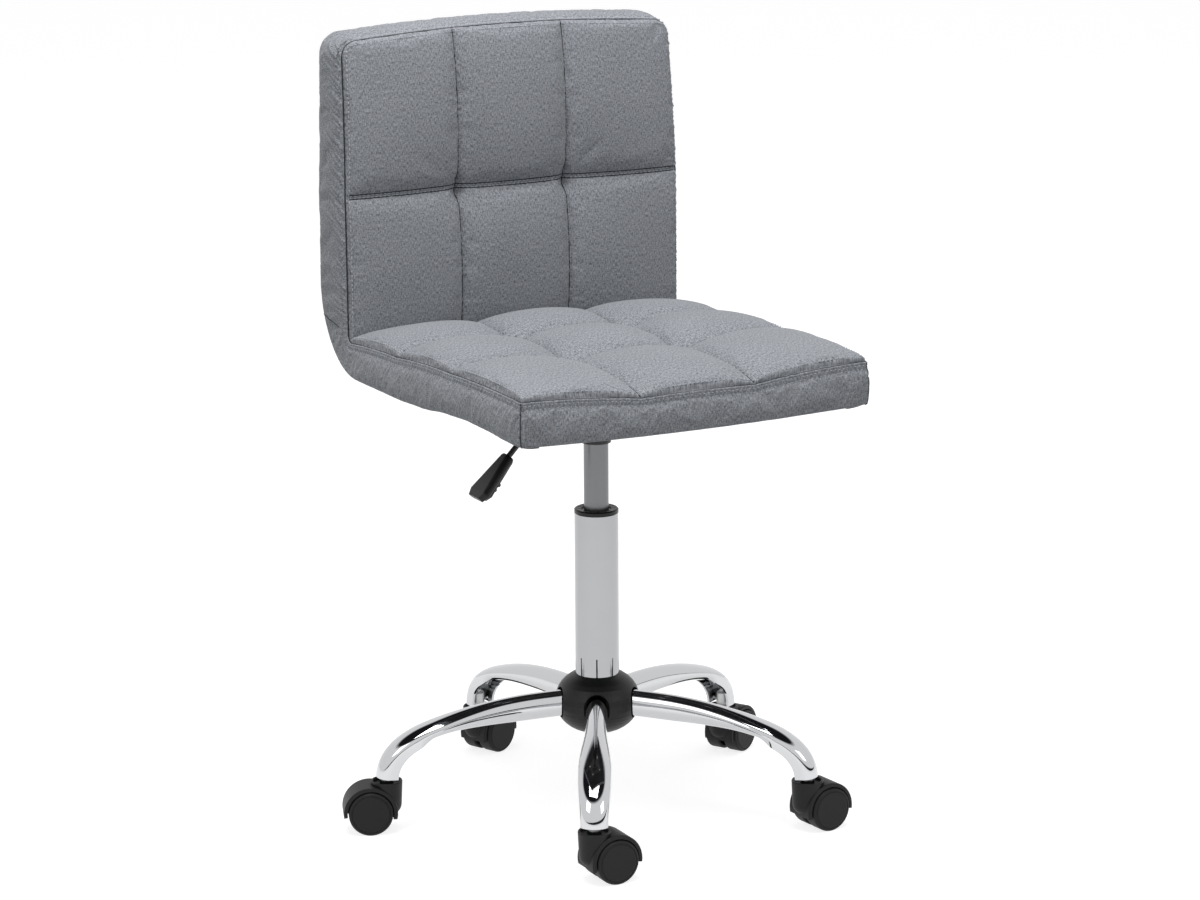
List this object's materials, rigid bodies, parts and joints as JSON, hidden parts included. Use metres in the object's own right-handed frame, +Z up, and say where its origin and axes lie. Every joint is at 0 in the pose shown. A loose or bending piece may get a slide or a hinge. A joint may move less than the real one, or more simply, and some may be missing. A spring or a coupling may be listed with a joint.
{
  "type": "swivel chair",
  "caption": "Armless swivel chair: quilted fabric seat and back in one bent shell, gas-lift column with height lever, tubular star base on twin-wheel casters.",
  "frame": {"origin": "on the floor, on the axis of the column", "axes": "+Z up along the column; the seat faces -Y, so the sitter's right is -X, where the height lever is"},
  "size_m": [0.5739, 0.5246, 0.8835],
  "materials": {
    "leg_chrome": "mirror-bright chrome plate on pressed steel tube",
    "column_chrome": "bright chrome plate on drawn steel tube",
    "lift_steel": "ground and plated cylinder, satin",
    "rod_steel": "hard-chromed piston rod, polished",
    "plain_steel": "zinc-plated hardware",
    "fitting_paint": "black powder coat, satin",
    "hub_plastic": "black moulded plastic, satin",
    "bush_plastic": "black acetal, smooth",
    "caster_plastic": "black nylon, fine texture",
    "wheel_plastic": "black nylon tread, satin",
    "grip_plastic": "black moulded plastic, satin",
    "buffer_rubber": "black rubber",
    "button_plastic": "orange-red moulded button",
    "plywood": "bent beech plywood, unfinished",
    "seat_fabric": "woven blue-grey linen-look upholstery, matt",
    "underside_cloth": "black non-woven dust cover"
  },
  "bodies": {
    "base": {"hub_socket": "fitting_paint", "hub_cover_upper": "hub_plastic", "hub_cover_lower": "hub_plastic", "leg_1": "leg_chrome", "leg_2": "leg_chrome", "leg_3": "leg_chrome", "leg_4": "leg_chrome", "leg_5": "leg_chrome", "caster_sockets": "plain_steel", "caster_stem_1": "plain_steel", "caster_stem_2": "plain_steel", "caster_stem_3": "plain_steel", "caster_stem_4": "plain_steel", "caster_stem_5": "plain_steel", "column_tube": "column_chrome", "guide_bush": "bush_plastic", "thrust_bearing": "plain_steel", "buffer": "buffer_rubber"},
    "piston": {"piston_rod": "rod_steel", "piston": "plain_steel", "retaining_clip": "plain_steel"},
    "seat": {"gas_cylinder": "lift_steel", "seat_fitting": "fitting_paint", "plate_bolts": "plain_steel", "t_nuts": "plain_steel", "lever_pivot": "plain_steel", "seat_shell": "plywood", "seat_cushion": "seat_fabric", "back_cushion": "seat_fabric", "boxing": "seat_fabric", "rear_panel": "seat_fabric", "dust_cover": "underside_cloth"},
    "lever": {"lever_rod": "fitting_paint", "lever_grip": "grip_plastic"},
    "valve": {"valve_button": "button_plastic"},
    "caster_1": {"caster_hood_1": "caster_plastic", "caster_axle_1": "plain_steel"},
    "wheel_left_1": {"wheel_left_1": "wheel_plastic"},
    "wheel_right_1": {"wheel_right_1": "wheel_plastic"},
    "caster_2": {"caster_hood_2": "caster_plastic", "caster_axle_2": "plain_steel"},
    "wheel_left_2": {"wheel_left_2": "wheel_plastic"},
    "wheel_right_2": {"wheel_right_2": "wheel_plastic"},
    "caster_3": {"caster_hood_3": "caster_plastic", "caster_axle_3": "plain_steel"},
    "wheel_left_3": {"wheel_left_3": "wheel_plastic"},
    "wheel_right_3": {"wheel_right_3": "wheel_plastic"},
    "caster_4": {"caster_hood_4": "caster_plastic", "caster_axle_4": "plain_steel"},
    "wheel_left_4": {"wheel_left_4": "wheel_plastic"},
    "wheel_right_4": {"wheel_right_4": "wheel_plastic"},
    "caster_5": {"caster_hood_5": "caster_plastic", "caster_axle_5": "plain_steel"},
    "wheel_left_5": {"wheel_left_5": "wheel_plastic"},
    "wheel_right_5": {"wheel_right_5": "wheel_plastic"}
  },
  "joints": [
    {"name": "seat_swivel", "type": "hinge", "parent": "base", "child": "piston", "pos_m": [0, 0, 0.1075], "axis": [0, 0, 1], "continuous": true},
    {"name": "seat_lift", "type": "slide", "parent": "piston", "child": "seat", "axis": [0, 0, 1], "range_m": [-0.07, 0.05]},
    {"name": "lever_pull", "type": "hinge", "parent": "seat", "child": "lever", "pos_m": [-0.024, 0, 0.48246], "axis": [0, 1, 0], "range_deg": [0, 6], "stiffness_Nm_per_rad": 2, "springref_deg": -2.86},
    {"name": "valve_press", "type": "slide", "parent": "seat", "child": "valve", "axis": [0, 0, -1], "range_m": [0, 0.003]},
    {"name": "caster_swivel_1", "type": "hinge", "parent": "base", "child": "caster_1", "pos_m": [-0.11881, -0.21882, 0.0615], "axis": [0, 0, 1], "continuous": true},
    {"name": "wheel_roll_left_1", "type": "hinge", "parent": "caster_1", "child": "wheel_left_1", "pos_m": [-0.09981, -0.21882, 0.025], "axis": [0, 1, 0], "continuous": true},
    {"name": "wheel_roll_right_1", "type": "hinge", "parent": "caster_1", "child": "wheel_right_1", "pos_m": [-0.09981, -0.21882, 0.025], "axis": [0, 1, 0], "continuous": true},
    {"name": "caster_swivel_2", "type": "hinge", "parent": "base", "child": "caster_2", "pos_m": [0.1714, -0.18062, 0.0615], "axis": [0, 0, 1], "continuous": true},
    {"name": "wheel_roll_left_2", "type": "hinge", "parent": "caster_2", "child": "wheel_left_2", "pos_m": [0.1903, -0.17863, 0.025], "axis": [-0.1045, 0.9945, 0], "continuous": true},
    {"name": "wheel_roll_right_2", "type": "hinge", "parent": "caster_2", "child": "wheel_right_2", "pos_m": [0.1903, -0.17863, 0.025], "axis": [-0.1045, 0.9945, 0], "continuous": true},
    {"name": "caster_swivel_3", "type": "hinge", "parent": "base", "child": "caster_3", "pos_m": [0.22474, 0.1072, 0.0615], "axis": [0, 0, 1], "continuous": true},
    {"name": "wheel_roll_left_3", "type": "hinge", "parent": "caster_3", "child": "wheel_left_3", "pos_m": [0.2412, 0.1167, 0.025], "axis": [-0.5, 0.866, 0], "continuous": true},
    {"name": "wheel_roll_right_3", "type": "hinge", "parent": "caster_3", "child": "wheel_right_3", "pos_m": [0.2412, 0.1167, 0.025], "axis": [-0.5, 0.866, 0], "continuous": true},
    {"name": "caster_swivel_4", "type": "hinge", "parent": "base", "child": "caster_4", "pos_m": [-0.0325, 0.24687, 0.0615], "axis": [0, 0, 1], "continuous": true},
    {"name": "wheel_roll_left_4", "type": "hinge", "parent": "caster_4", "child": "wheel_left_4", "pos_m": [-0.01514, 0.2546, 0.025], "axis": [-0.4067, 0.9135, 0], "continuous": true},
    {"name": "wheel_roll_right_4", "type": "hinge", "parent": "caster_4", "child": "wheel_right_4", "pos_m": [-0.01514, 0.2546, 0.025], "axis": [-0.4067, 0.9135, 0], "continuous": true},
    {"name": "caster_swivel_5", "type": "hinge", "parent": "base", "child": "caster_5", "pos_m": [-0.24483, 0.04538, 0.0615], "axis": [0, 0, 1], "continuous": true},
    {"name": "wheel_roll_left_5", "type": "hinge", "parent": "caster_5", "child": "wheel_left_5", "pos_m": [-0.26257, 0.05219, 0.025], "axis": [-0.3584, -0.9336, 0], "continuous": true},
    {"name": "wheel_roll_right_5", "type": "hinge", "parent": "caster_5", "child": "wheel_right_5", "pos_m": [-0.26257, 0.05219, 0.025], "axis": [-0.3584, -0.9336, 0], "continuous": true}
  ],
  "couplings": [
    {"joint": "valve_press", "follows": "lever_pull", "m_per_rad": 0.0265}
  ]
}
